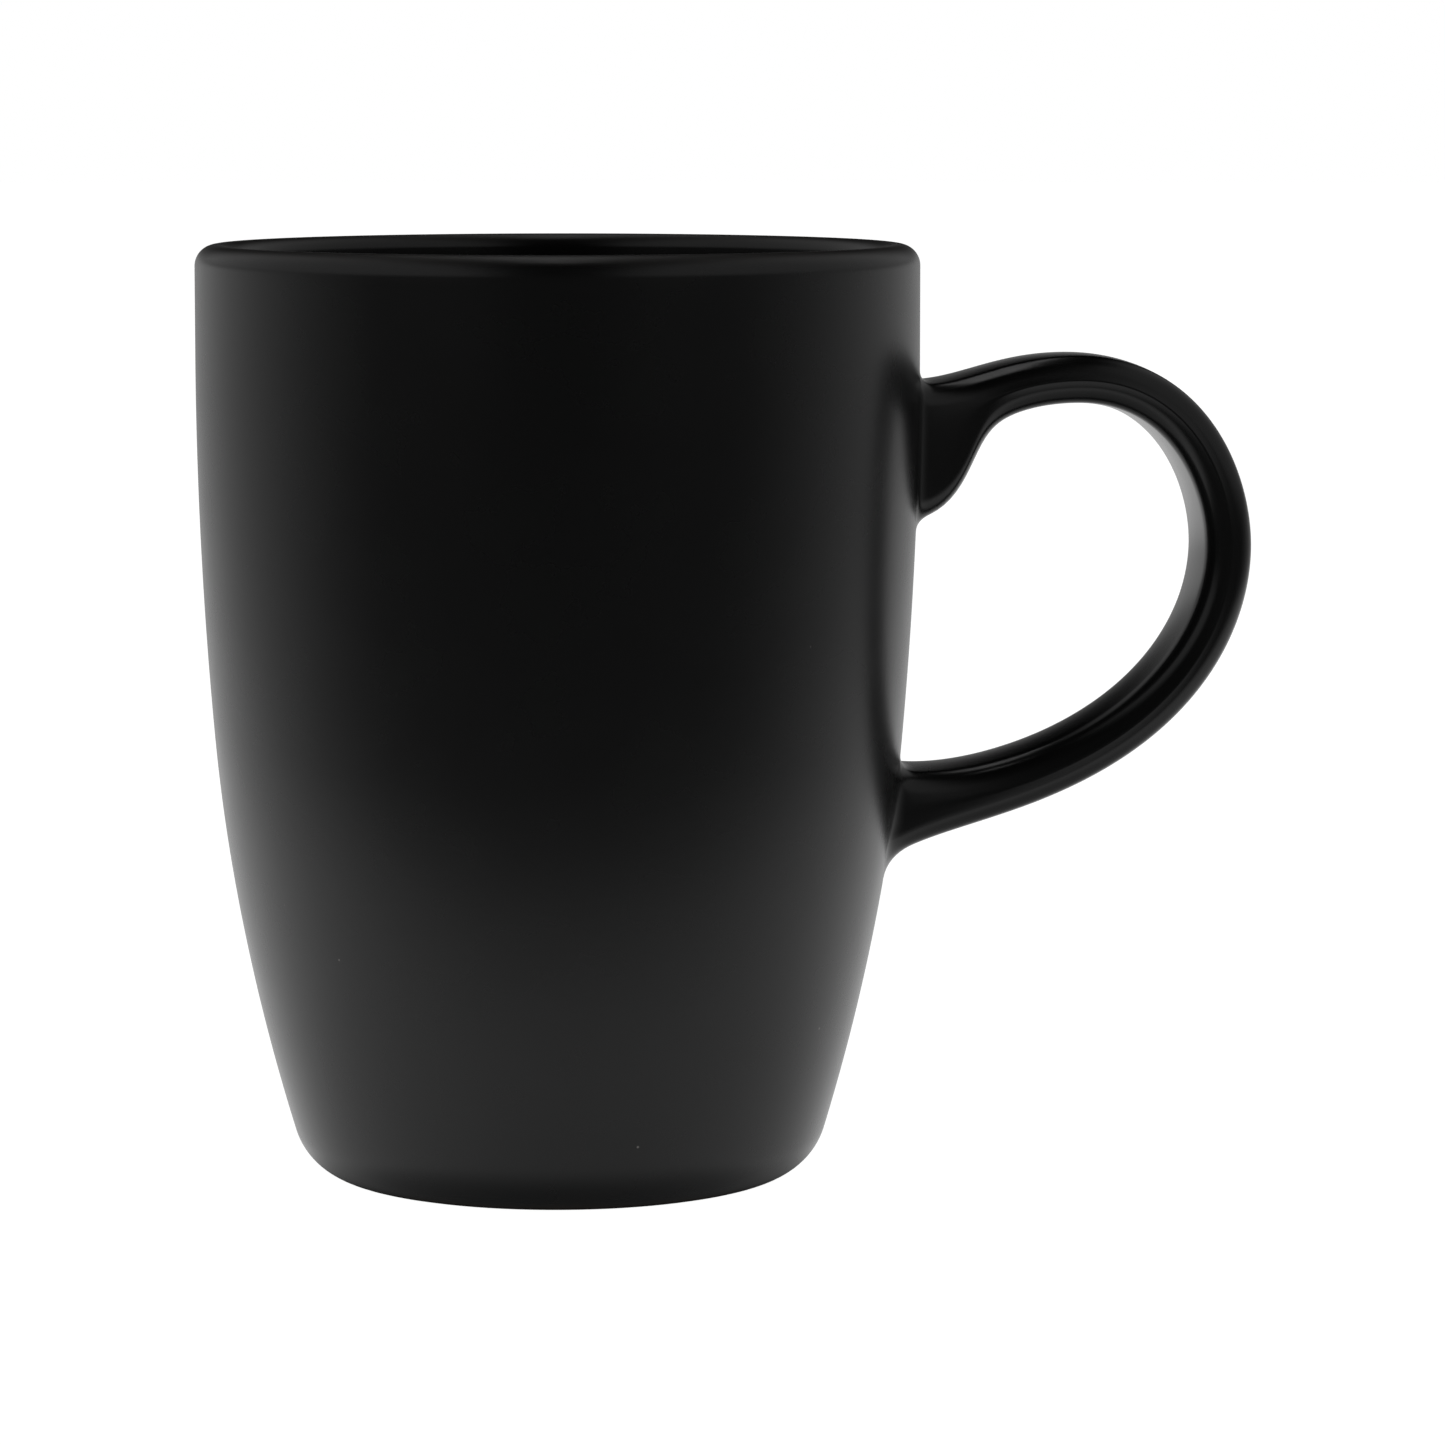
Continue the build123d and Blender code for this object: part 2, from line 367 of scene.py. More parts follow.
def lip_thinning(radius, level):
    """The coat thins at the top of the lip and just above the foot."""
    cup = bpy.context.scene.cup_sizes
    at_lip = level.fade(cup.height - cup.lip_outside * 0.6, cup.height)
    at_foot = 1 - level.fade(0, cup.recess_depth)
    return (at_lip + at_foot) * 0.5


def cup_roughness(radius):
    """The cup's glaze has one roughness all over."""
    return bpy.context.scene.glaze_finish.cup_roughness


def handle_roughness(radius):
    """The handle's glaze gets glossier away from the wall."""
    cup = bpy.context.scene.cup_sizes
    finish = bpy.context.scene.glaze_finish
    away = radius.fade(cup.rim_radius, cup.rim_radius + 2 * cup.wall)
    return away * (finish.handle_roughness - finish.cup_roughness) + finish.cup_roughness


def clay_material(name, colour):
    """Bare fired clay: iron spots, pale grog and a sandy surface."""
    finish = bpy.context.scene.clay_finish
    material, wires = new_material(name)
    place = wires.node("ShaderNodeTexCoord", output="Object")
    grain = noise(wires, place, finish.grain, 5)
    patches = noise(wires, place, finish.grain * 12, 3)
    cells = {"Vector": place, "Scale": 1 / (finish.grain * 1.6)}
    grog = wires.node("ShaderNodeTexVoronoi", {}, cells, "Distance")
    kind = wires.node("ShaderNodeTexVoronoi", {}, cells, "Color").parts()[0]
    spot = 1 - grog.fade(0.18, 0.34)

    base = paint(wires, colour)
    dark = paint(wires, finish.dark_colour)
    pale = paint(wires, finish.grog_colour)
    mottled = base.mix(dark, patches.fade(0.45, 0.75) * 0.5)
    spotted = mottled.mix(dark, spot * kind.fade(0.8, 0.82))
    flecked = spotted.mix(pale, spot * (1 - kind.fade(0.12, 0.14)))
    roughness = finish.roughness + (grain - 0.5) * 0.2
    height = grain * finish.grain_height + spot * finish.grain_height * 0.4
    close_material(wires, flecked, roughness, height)
    return material


class Outline:
    """Outline of a turned form, walked as lines and arcs that join smoothly.

    Points are (radius, height). The heading is in radians from straight out, and a left turn is
    positive.
    """

    def __init__(self, start, heading, spacing):
        self.heading = heading
        self.spacing = spacing
        self.points = [np.array(start, float)]
        self.lefts = [self.left()]

    def left(self):
        """Unit vector to the left of the heading."""
        return np.array((-math.sin(self.heading), math.cos(self.heading)))

    def put(self, point):
        """Add a point, with the vector to its left."""
        self.points.append(point)
        self.lefts.append(self.left())

    def line(self, distance):
        """Walk straight on."""
        steps = max(1, math.ceil(distance / self.spacing))
        start = self.points[-1]
        ahead = np.array((math.cos(self.heading), math.sin(self.heading)))
        for step in range(1, steps + 1):
            self.put(start + ahead * distance * step / steps)

    def arc(self, radius, turn, finest=math.radians(4)):
        """Walk round an arc."""
        steps = math.ceil(max(radius * abs(turn) / self.spacing, abs(turn) / finest))
        side = math.copysign(1, turn)
        centre = self.points[-1] + self.left() * radius * side
        for _ in range(steps):
            self.heading += turn / steps
            self.put(centre - self.left() * radius * side)

    def coat(self, thickness, clay_on_left):
        """Outline of a coat with this line as its face, wound so that it turns out facing outwards."""
        side = 1 if clay_on_left else -1
        face = np.array(self.points)
        back = face + np.array(self.lefts) * thickness * side
        return np.vstack([back[::-1], face])[::-side]


def lip_point(cup, turn):
    """Point (radius, height) part of the way round the lip's outer rounding."""
    return (
        cup.rim_radius - cup.lip_outside * (1 - math.sin(turn)),
        cup.height - cup.lip_outside * (1 - math.cos(turn)),
    )


def outside_outline(cup, start_turn=0.0):
    """The outside of the cup, from the lip to the foot, starting part of the way round the lip."""
    outline = Outline(lip_point(cup, start_turn), -start_turn, cup.spacing)
    outline.arc(cup.lip_outside, start_turn - math.pi / 2)
    outline.line(cup.upright_band)
    outline.arc(belly_radius(cup), -cup.belly_lean)
    outline.arc(cup.waist_radius, cup.belly_lean - cup.waist_lean)
    outline.arc(cup.skirt_radius, cup.waist_lean - cup.skirt_lean)
    return outline


def belly_radius(cup):
    """Radius of the belly, which takes the wall from the upright band to the waist."""
    top = cup.height - cup.lip_outside - cup.upright_band
    return (top - cup.waist_top) / math.sin(cup.belly_lean)


def lip_join_turn(cup):
    """How far round the lip's outer rounding the two coats meet."""
    return math.asin(1 - cup.wall / 2 / cup.lip_outside)


def foot_rounding(cup):
    """Radius of the turn under the foot, which comes down to the floor."""
    skirt_end = outside_outline(cup).points[-1]
    return skirt_end[1] / (1 - math.sin(cup.skirt_lean))


def foot_radius(cup):
    """Radius at which the turn under the foot meets the floor."""
    skirt_end = outside_outline(cup).points[-1]
    return skirt_end[0] - foot_rounding(cup) * math.cos(cup.skirt_lean)


def outer_outline(cup):
    """Face of the outer coat, from the middle of the lip down to the bare foot ring."""
    outline = outside_outline(cup, lip_join_turn(cup))
    bare_turn = math.asin(cup.ring_step / foot_rounding(cup))
    outline.arc(foot_rounding(cup), cup.skirt_lean + bare_turn - math.pi / 2)
    return outline


def liner_outline(cup):
    """Face of the liner coat, from the middle of the lip down to the middle of the floor."""
    join_turn = lip_join_turn(cup)
    inside_rounding = cup.wall - cup.lip_outside - cup.lip_flat
    outline = Outline(lip_point(cup, join_turn), math.pi - join_turn, cup.spacing)
    outline.arc(cup.lip_outside, join_turn)
    outline.line(cup.lip_flat)
    outline.arc(inside_rounding, math.pi / 2)
    outline.line(cup.upright_band + cup.lip_outside - inside_rounding)
    outline.arc(belly_radius(cup) - cup.wall, -cup.belly_lean)
    outline.arc(cup.waist_radius - cup.wall, cup.belly_lean - cup.waist_lean)
    floor_level = cup.recess_depth + cup.floor
    skirt_radius = cup.skirt_radius - cup.wall
    centre_level = outline.points[-1][1] + skirt_radius * math.sin(cup.waist_lean)
    corner_drop = centre_level - floor_level - cup.cavity_corner
    corner_lean = math.asin(corner_drop / (skirt_radius - cup.cavity_corner))
    outline.arc(skirt_radius, cup.waist_lean - corner_lean)
    outline.arc(cup.cavity_corner, corner_lean - math.pi / 2)
    outline.line(outline.points[-1][0])
    return outline


def underside_outline(cup):
    """Face of the glaze in the hollow under the foot, from the bare ring to the middle."""
    recess_radius = foot_radius(cup) + cup.ring_step - cup.ring_width
    outline = Outline((recess_radius, cup.coat), math.pi / 2, cup.spacing)
    outline.line(cup.recess_depth - cup.recess_corner - cup.coat)
    outline.arc(cup.recess_corner, math.pi / 2)
    outline.line(outline.points[-1][0])
    return outline


def turning_tree():
    """Geometry Nodes tree that turns an outline in the XZ plane round the cup's axis."""
    tree = bpy.data.node_groups.new("turned_coat", "GeometryNodeTree")
    tree.is_modifier = True
    sockets = (
        ("Outline", "NodeSocketGeometry"),
        ("Segments", "NodeSocketInt"),
        ("Wheel Radius", "NodeSocketFloat"),
        ("Weld Distance", "NodeSocketFloat"),
        ("Finish", "NodeSocketMaterial"),
    )
    for name, kind in sockets:
        tree.interface.new_socket(name, in_out="INPUT", socket_type=kind)
    tree.interface.new_socket("Coat", in_out="OUTPUT", socket_type="NodeSocketGeometry")

    wires = Wire(tree)
    given = wires.node("NodeGroupInput").socket.node.outputs
    outline, segments, wheel_radius, weld, finish = (Wire(tree, socket) for socket in given[:5])
    x, _, z = wires.node("GeometryNodeInputPosition").parts()
    laid_flat = wires.node("ShaderNodeCombineXYZ", {}, {"X": x - wheel_radius, "Y": 0 - z})
    laid = {"Geometry": outline, "Position": laid_flat}
    profile = wires.node("GeometryNodeSetPosition", {}, laid)
    profile = wires.node("GeometryNodeMeshToCurve", {}, {"Mesh": profile})
    wheel = wires.node(
        "GeometryNodeCurvePrimitiveCircle",
        {"mode": "RADIUS"},
        {"Resolution": segments, "Radius": wheel_radius},
    )
    wheel = wires.node("GeometryNodeSetCurveNormal", {"mode": "Z_UP"}, {"Curve": wheel})
    swept = {"Curve": wheel, "Profile Curve": profile}
    turned = wires.node("GeometryNodeCurveToMesh", {}, swept)
    joined = {"Geometry": turned, "Distance": weld}
    welded = wires.node("GeometryNodeMergeByDistance", {}, joined)
    smooth = wires.node("GeometryNodeSetShadeSmooth", {}, {"Geometry": welded})
    whole = wires.node("GeometryNodeRealizeInstances", {}, {"Geometry": smooth})
    coated = wires.node("GeometryNodeSetMaterial", {}, {"Geometry": whole, "Material": finish})
    wires.node("NodeGroupOutput", {}, {"Coat": coated})
    return tree


def new_piece(name, mesh):
    """Put a mesh in the scene as an object at the origin."""
    piece = bpy.data.objects.new(name, mesh)
    bpy.context.scene.collection.objects.link(piece)
    return piece


def turned_piece(name, outline, open_at_axis, material):
    """Turn a coat's outline round the cup's axis and give the finished piece."""
    cup = bpy.context.scene.cup_sizes
    last = len(outline) - 1
    edges = [(spot, spot + 1) for spot in range(last)]
    if not open_at_axis:
        edges.append((last, 0))
    mesh = bpy.data.meshes.new(name + "_outline")
    mesh.from_pydata([(radius, 0, level) for radius, level in outline], edges, [])
    piece = new_piece(name, mesh)

    tree = bpy.data.node_groups.get("turned_coat") or turning_tree()
    modifier = piece.modifiers.new("turning", "NODES")
    modifier.node_group = tree
    chosen = {
        "Segments": cup.segments,
        "Wheel Radius": cup.rim_radius,
        "Weld Distance": cup.coat / 100,
        "Finish": material,
    }
    for item in tree.interface.items_tree:
        if item.in_out == "INPUT" and item.name in chosen:
            modifier[item.identifier] = chosen[item.name]

    evaluated = piece.evaluated_get(bpy.context.evaluated_depsgraph_get())
    turned = bpy.data.meshes.new_from_object(evaluated)
    piece.modifiers.remove(modifier)
    if not turned.polygons:
        raise RuntimeError(f"{name}: the turned outline has no faces")
    piece.data = turned
    bpy.data.meshes.remove(mesh)
    turned.name = name
    turned.set_sharp_from_angle(angle=math.radians(40))
    return piece


def settle(piece, node):
    """Fix a finished piece to the mug's body in place of its CAD node."""
    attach(piece, BODY)
    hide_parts(node)


class OuterCoat(bpy.types.Operator):
    """Make the satin coat over the outside of the cup"""

    bl_idname = "mug.outer_coat"
    bl_label = "Outer Coat"

    def execute(self, context):
        cup = context.scene.cup_sizes
        material = glaze_material("outer_satin_glaze", cup_roughness, lip_thinning)
        outline = outer_outline(cup).coat(cup.coat, False)
        piece = turned_piece("outer_glaze_coat", outline, False, material)
        settle(piece, "outer_glaze")
        return {"FINISHED"}


class LinerCoat(bpy.types.Operator):
    """Make the coat poured inside the cup"""

    bl_idname = "mug.liner_coat"
    bl_label = "Liner Coat"

    def execute(self, context):
        cup = context.scene.cup_sizes
        material = glaze_material("liner_satin_glaze", cup_roughness, lip_thinning)
        outline = liner_outline(cup).coat(cup.coat, True)
        piece = turned_piece("liner_glaze_coat", outline, True, material)
        settle(piece, "liner_glaze")
        return {"FINISHED"}


class UndersideCoat(bpy.types.Operator):
    """Make the disc of glaze in the hollow under the foot"""

    bl_idname = "mug.underside_coat"
    bl_label = "Underside Coat"

    def execute(self, context):
        cup = context.scene.cup_sizes
        material = glaze_material("underside_satin_glaze", cup_roughness, no_thinning)
        outline = underside_outline(cup).coat(cup.coat, False)
        piece = turned_piece("underside_glaze_coat", outline, True, material)
        settle(piece, "underside_glaze")
        return {"FINISHED"}


class Wall:
    """The glazed outside of the cup, as the handle meets it."""

    def __init__(self, cup):
        points = np.array(outside_outline(cup).points)[::-1]
        self.radii, self.levels = points[:, 0], points[:, 1]

    def radius(self, level):
        """Radius at a height."""
        return np.interp(level, self.levels, self.radii)

    def gap(self, points):
        """How far points stand outside the wall."""
        return np.hypot(points[..., 0], points[..., 1]) - self.radius(points[..., 2])

    def normal(self, points):
        """Unit vectors straight out of the wall at points on it."""
        step = 0.1 * MM
        slope = (self.radius(points[..., 2] + step) - self.radius(points[..., 2] - step)) / (2 * step)
        around = points[..., :2] / np.hypot(points[..., 0], points[..., 1])[..., None]
        normal = np.concatenate([around, -slope[..., None]], axis=-1)
        return unit(normal)

    def onto(self, points):
        """Move points straight out or in until they lie on the wall."""
        scale = self.radius(points[..., 2]) / np.hypot(points[..., 0], points[..., 1])
        return np.concatenate([points[..., :2] * scale[..., None], points[..., 2:]], axis=-1)


def unit(vectors):
    """Vectors of length 1."""
    return vectors / np.linalg.norm(vectors, axis=-1, keepdims=True)


def bezier(ends, pulls, count):
    """Points along a cubic curve from its ends and its two pulled points."""
    t = np.linspace(0, 1, count)[:, None]
    start, end = (np.array(point) for point in ends)
    first, second = (np.array(point) for point in pulls)
    return (
        (1 - t) ** 3 * start
        + 3 * (1 - t) ** 2 * t * first
        + 3 * (1 - t) * t**2 * second
        + t**3 * end
    )


class HandleForm:
    """The handle as a surface: a place is a distance along its line and a point of its section."""

    line_points = 400

    def __init__(self, cup, handle, wall):
        self.cup = cup
        self.handle = handle
        self.wall = wall
        self.line = self.centre_line()
        steps = np.linalg.norm(np.diff(self.line, axis=0), axis=1)
        self.distances = np.concatenate([[0], np.cumsum(steps)])
        self.length = self.distances[-1]
        self.tangents = unit(np.gradient(self.line, self.distances, axis=0))
        self.section = self.section_points()

    def centre_line(self):
        """Points (x, z) from the upper root over the crest to the lower root."""
        handle, wall = self.handle, self.wall
        upper_level = self.cup.height - handle.upper_drop
        upper = np.array((float(wall.radius(upper_level)), upper_level))
        crest = upper + (handle.crest_standoff, handle.crest_rise)
        outermost = upper + (handle.reach, -handle.outermost_drop)
        lower = np.array((float(wall.radius(handle.lower_height)), handle.lower_height))
        slope = np.array((math.cos(handle.lower_slope), math.sin(handle.lower_slope)))
        bends = (
            (upper, upper + (handle.upper_root_pull, 0), crest - (handle.crest_inner_pull, 0), crest),
            (
                crest,
                crest + (handle.crest_outer_pull, 0),
                outermost + (0, handle.outermost_upper_pull),
                outermost,
            ),
            (
                outermost,
                outermost - (0, handle.outermost_lower_pull),
                lower + slope * handle.lower_root_pull,
                lower,
            ),
        )
        stretches = [
            bezier((start, end), (first, second), self.line_points)
            for start, first, second, end in bends
        ]
        return np.vstack([stretches[0]] + [stretch[1:] for stretch in stretches[1:]])

    def section_points(self, corner_steps=8, face_steps=10, side_steps=4):
        """Points round the section: where each stands on the flat box, and its way out."""
        rows = []
        quarter = math.pi / 2
        starts = ((1, 1), (-1, 1), (-1, -1), (1, -1))
        for turn, (across, out) in enumerate(starts):
            for step in range(corner_steps + 1):
                angle = quarter * (turn + step / corner_steps)
                rows.append((across, out, math.cos(angle), math.sin(angle)))
            steps = face_steps if turn % 2 == 0 else side_steps
            next_across, next_out = starts[(turn + 1) % 4]
            angle = quarter * (turn + 1)
            for step in range(1, steps):
                part = step / steps
                rows.append(
                    (
                        across + (next_across - across) * part,
                        out + (next_out - out) * part,
                        math.cos(angle),
                        math.sin(angle),
                    )
                )
        return np.round(np.array(rows), 9)

    def frame_at(self, distance):
        """Centre, direction and outward way of the line, run on straight past both roots."""
        inside = np.clip(distance, 0, self.length)
        over = (distance - inside)[..., None]
        centre = np.stack([np.interp(inside, self.distances, self.line[:, k]) for k in (0, 1)], -1)
        ahead = np.stack([np.interp(inside, self.distances, self.tangents[:, k]) for k in (0, 1)], -1)
        ahead = unit(ahead)
        outward = np.stack([-ahead[..., 1], ahead[..., 0]], -1)
        return centre + ahead * over, outward

    def surface(self, distance, section, inset=0.0):
        """Points of the surface at distances along the line, for rows of the section."""
        handle = self.handle
        from_upper = np.maximum(distance, 0)
        from_lower = np.maximum(self.length - distance, 0)
        thicker = np.clip((from_upper - handle.thickening_start) / handle.thickening, 0, 1)
        half_strap = handle.crest_thickness + (handle.grip_thickness - handle.crest_thickness) * thicker
        lower_swell = np.exp(-from_lower / handle.swell_length)
        upper_swell = np.exp(-from_upper / handle.swell_length)
        heel = handle.heel_depth / (
            1 + np.exp((from_upper - handle.heel_length) / handle.heel_softness)
        )
        outer_half = half_strap / 2 + handle.lower_swell * lower_swell
        inner_half = outer_half + heel
        half_width = handle.width / 2 + handle.width_swell * (upper_swell + lower_swell)

        across, out, way_across, way_out = np.moveaxis(section, -1, 0)
        corner = handle.corner - inset
        flat_across = (half_width - handle.corner) * across
        half_depth = (outer_half + inner_half) / 2 - handle.corner
        flat_out = (outer_half - inner_half) / 2 + half_depth * out
        crown = np.where(
            np.abs(way_out) > np.abs(way_across),
            handle.face_crown * (1 - across**2),
            handle.side_crown * (1 - out**2),
        )
        sideways = flat_across + way_across * (corner + crown)
        outwards = flat_out + way_out * (corner + crown)
        centre, outward = self.frame_at(distance)
        spot = centre + outward * outwards[..., None]
        return np.stack([spot[..., 0], sideways, spot[..., 1]], -1)

    def root(self, upper, inset=0.0):
        """For each section row: where its rail meets the wall, as a distance along the line."""
        reach = 30 * MM
        samples = 1200
        inner_end = -4 * MM if upper else self.length + 4 * MM
        outer_end = reach if upper else self.length - reach
        distances = np.linspace(inner_end, outer_end, samples)
        meets = []
        for row in self.section:
            rail = self.surface(distances, np.broadcast_to(row, (samples, 4)), inset)
            gap = self.wall.gap(rail)
            last = np.nonzero(gap < 0)[0][-1]
            part = gap[last] / (gap[last] - gap[last + 1])
            meets.append(distances[last] + (distances[last + 1] - distances[last]) * part)
        return np.array(meets)

    def along_rail(self, meets, reaches, upper):
        """Distances along the line where each rail is `reaches` away from the wall."""
        away = 1 if upper else -1
        found = []
        for meet, reach, row in zip(meets, reaches, self.section):
            steps = np.linspace(0, 4 * reach, 200)
            distances = meet + away * steps
            rail = self.surface(distances, np.broadcast_to(row, (len(steps), 4)))
            lengths = np.concatenate([[0], np.cumsum(np.linalg.norm(np.diff(rail, axis=0), axis=1))])
            found.append(meet + away * np.interp(reach, lengths, steps))
        return np.array(found)

    def collar(self, meets, starts, reaches, upper, steps=9):
        """Rings of the fillet from the handle's surface down onto the wall and just under it."""
        away = 1 if upper else -1
        nudge = 0.02 * MM
        start = self.surface(starts, self.section)
        inward = unit(self.surface(starts - away * nudge, self.section) - start)
        corner = self.wall.onto(self.surface(meets, self.section))
        _, outward = self.frame_at(meets)
        way_out = self.section[:, 3:]
        sideways = np.stack(
            [outward[:, 0] * way_out[:, 0], self.section[:, 2], outward[:, 1] * way_out[:, 0]], -1
        )
        normal = self.wall.normal(corner)
        spread = sideways - normal * np.sum(sideways * normal, axis=-1, keepdims=True)
        end = self.wall.onto(corner + unit(spread) * reaches[:, None])
        end_normal = self.wall.normal(end)
        away_from_root = end - corner
        back = away_from_root - end_normal * np.sum(away_from_root * end_normal, -1, keepdims=True)
        roundness = 0.62 * reaches[:, None]
        first = start + inward * roundness
        second = end - unit(back) * roundness
        t = np.linspace(0, 1, steps + 1)[1:, None, None]
        rings = (
            (1 - t) ** 3 * start
            + 3 * (1 - t) ** 2 * t * first
            + 3 * (1 - t) * t**2 * second
            + t**3 * end
        )
        tucked = end - end_normal * self.cup.coat * 0.6
        return list(rings) + [tucked]


def closed_faces(rings, around):
    """Four-sided faces between rings of points, with the last ring joined to the first."""
    faces = []
    for ring in range(rings):
        here, there = ring * around, (ring + 1) % rings * around
        for spot in range(around):
            beside = (spot + 1) % around
            faces.append((here + spot, here + beside, there + beside, there + spot))
    return faces


def handle_mesh(name, form):
    """The handle's coat: a face with a fillet at each root, and a back against the clay."""
    handle = form.handle
    way_out = form.section[:, 3]
    upper_reach = np.full(len(way_out), handle.upper_fillet)
    lower_reach = handle.lower_fillet + handle.underside_fillet * np.maximum(way_out, 0)
    upper_meets, lower_meets = form.root(True), form.root(False)
    upper_starts = form.along_rail(upper_meets, upper_reach, True)
    lower_starts = form.along_rail(lower_meets, lower_reach, False)

    parts = np.linspace(0, 1, handle.rings + 1)[:, None]
    face_distances = upper_starts + (lower_starts - upper_starts) * parts
    shape = (*face_distances.shape, 4)
    section = np.broadcast_to(form.section, shape)
    face = list(form.surface(face_distances, section))
    upper_collar = form.collar(upper_meets, upper_starts, upper_reach, True)
    lower_collar = form.collar(lower_meets, lower_starts, lower_reach, False)

    upper_back = form.root(True, form.cup.coat)
    lower_back = form.root(False, form.cup.coat)
    back_distances = upper_back + (lower_back - upper_back) * parts
    back = list(form.surface(back_distances, section, form.cup.coat))

    rings = upper_collar[::-1] + face + lower_collar + back[::-1]
    points = np.array(rings).reshape(-1, 3)
    mesh = bpy.data.meshes.new(name)
    mesh.from_pydata(points.tolist(), [], closed_faces(len(rings), len(form.section)))
    mesh.shade_smooth()
    mesh.set_sharp_from_angle(angle=math.radians(50))
    return mesh


class HandleCoat(bpy.types.Operator):
    """Make the coat round the handle, with its fillets onto the cup"""

    bl_idname = "mug.handle_coat"
    bl_label = "Handle Coat"

    def execute(self, context):
        cup = context.scene.cup_sizes
        form = HandleForm(cup, context.scene.handle_sizes, Wall(cup))
        mesh = handle_mesh("handle_glaze_coat", form)
        mesh.materials.append(glaze_material("handle_satin_glaze", handle_roughness, no_thinning))
        settle(new_piece("handle_glaze_coat", mesh), "handle_glaze")
        return {"FINISHED"}


class BareClay(bpy.types.Operator):
    """Finish the fired clay and the slip that join it"""

    bl_idname = "mug.bare_clay"
    bl_label = "Bare Clay"

    def execute(self, context):
        finish = context.scene.clay_finish
        clay = clay_material("bare_stoneware", finish.colour)
        slip = clay_material("fired_slip", finish.slip_colour)
        finishes = {
            "clay_cup": clay,
            "clay_handle": clay,
            "upper_slip_joint": slip,
            "lower_slip_joint": slip,
        }
        for name, material in finishes.items():
            mesh = frame["nodes"][name].data
            mesh.materials.clear()
            mesh.materials.append(material)
        return {"FINISHED"}


# Stops of the glow round the mug: the backdrop's from the camera (0) to straight behind (1), and
# the table's from the horizon (0) to straight down (1).
BACKDROP_STOPS = ((0.33, 0.02), (0.44, 0.15), (0.56, 0.33), (0.67, 0.44), (0.78, 0.5))
TABLE_STOPS = (
    (0.3, 0.9), (0.38, 0.8), (0.44, 0.69), (0.5, 0.64), (0.62, 0.57), (0.67, 0.48), (0.75, 0.35),
    (0.92, 0.24), (1, 0.17),
)
TABLE_RISE_BEHIND = 0.22
HIGH_SIDE_GLOW = 0.34
LEFT_GLOW = 0.1
DISC_SIDES = 96


def studio_world(view_turn):
    """White to the camera; in reflections, dark on the camera's side and bright elsewhere."""
    world = bpy.data.worlds.new("studio")
    world.use_nodes = True
    world.node_tree.nodes.clear()
    wires = Wire(world.node_tree)
    x, y, z = wires.node("ShaderNodeTexCoord", output="Generated").parts()
    level = (x * x + y * y).math("SQRT") + 1e-6
    sideways = x * math.cos(view_turn) - y * math.sin(view_turn)
    frontness = 0 - (x * math.sin(view_turn) + y * math.cos(view_turn)) / level
    from_camera = frontness.math("ARCCOSINE") / math.pi
    down = 0 - z

    backdrop = wires.node("ShaderNodeValToRGB", {"stops": BACKDROP_STOPS}, {"Fac": from_camera})
    backdrop = backdrop * (1 - z.fade(0.02, 0.2)) * (1 - down.fade(0.6, 0.9))

    table = wires.node("ShaderNodeValToRGB", {"stops": TABLE_STOPS}, {"Fac": down})
    table_near = down + (1 - frontness) * TABLE_RISE_BEHIND
    table = table * table_near.fade(0.33, 0.62)

    high_sides = sideways.math("ABSOLUTE").fade(0.2, 0.5) * z.fade(0, 0.2)
    high_sides = high_sides * (1 - z.fade(0.85, 1)) * HIGH_SIDE_GLOW
    glow = backdrop.math("MAXIMUM", backdrop, table)
    glow = high_sides.math("MAXIMUM", high_sides, glow) * (1 - sideways * LEFT_GLOW)
    seen = wires.node("ShaderNodeLightPath", output="Is Camera Ray")
    sky = {"Color": (1, 1, 1, 1), "Strength": seen * (1 - glow) + glow}
    background = wires.node("ShaderNodeBackground", {}, sky)
    wires.node("ShaderNodeOutputWorld", {}, {"Surface": background})
    return world


def stage_disc(name, radius, rule):
    """A round sheet on the floor, shaded with the sockets that a rule gives."""
    mesh = bpy.data.meshes.new(name)
    turns = [2 * math.pi * step / DISC_SIDES for step in range(DISC_SIDES)]
    rim = [(radius * math.cos(turn), radius * math.sin(turn), 0) for turn in turns]
    mesh.from_pydata(rim, [], [tuple(range(DISC_SIDES))])
    material, wires = new_material(name)
    sockets = {"Specular IOR Level": 0, **rule(wires)}
    shader = wires.node("ShaderNodeBsdfPrincipled", {}, sockets)
    wires.node("ShaderNodeOutputMaterial", {}, {"Surface": shader})
    mesh.materials.append(material)
    disc = new_piece(name, mesh)
    return disc


def pale_floor(radius):
    """A plain round floor, bright enough to stay pale under the mug."""

    def pale(wires):
        return {
            "Base Color": (0.3, 0.3, 0.3, 1),
            "Roughness": 0.9,
            "Emission Color": (1, 1, 1, 1),
            "Emission Strength": 1,
        }

    floor = stage_disc("pale_floor", radius, pale)
    floor.visible_glossy = False


def foot_shade(radius, fade):
    """A painted shadow under the foot: a dark patch, seen only in reflections, that stands in for the
    floor's shade under the mug.
    """

    def dark(wires):
        place = wires.node("ShaderNodeTexCoord", output="Object")
        away = wires.node("ShaderNodeVectorMath", {"operation": "LENGTH"}, {0: place}, "Value")
        clear = away.fade(radius, radius + fade)
        return {"Base Color": (0, 0, 0, 1), "Roughness": 1, "Alpha": 1 - clear}

    shade = stage_disc("foot_shade", radius + fade, dark)
    shade.visible_camera = False
    shade.visible_diffuse = False
    shade.visible_shadow = False


def look_at(thing, place, target):
    """Place an object and point its -Z axis at a target, with its top up."""
    thing.location = place
    thing.rotation_euler = (Vector(target) - Vector(place)).to_track_quat("-Z", "Y").to_euler()
    bpy.context.scene.collection.objects.link(thing)


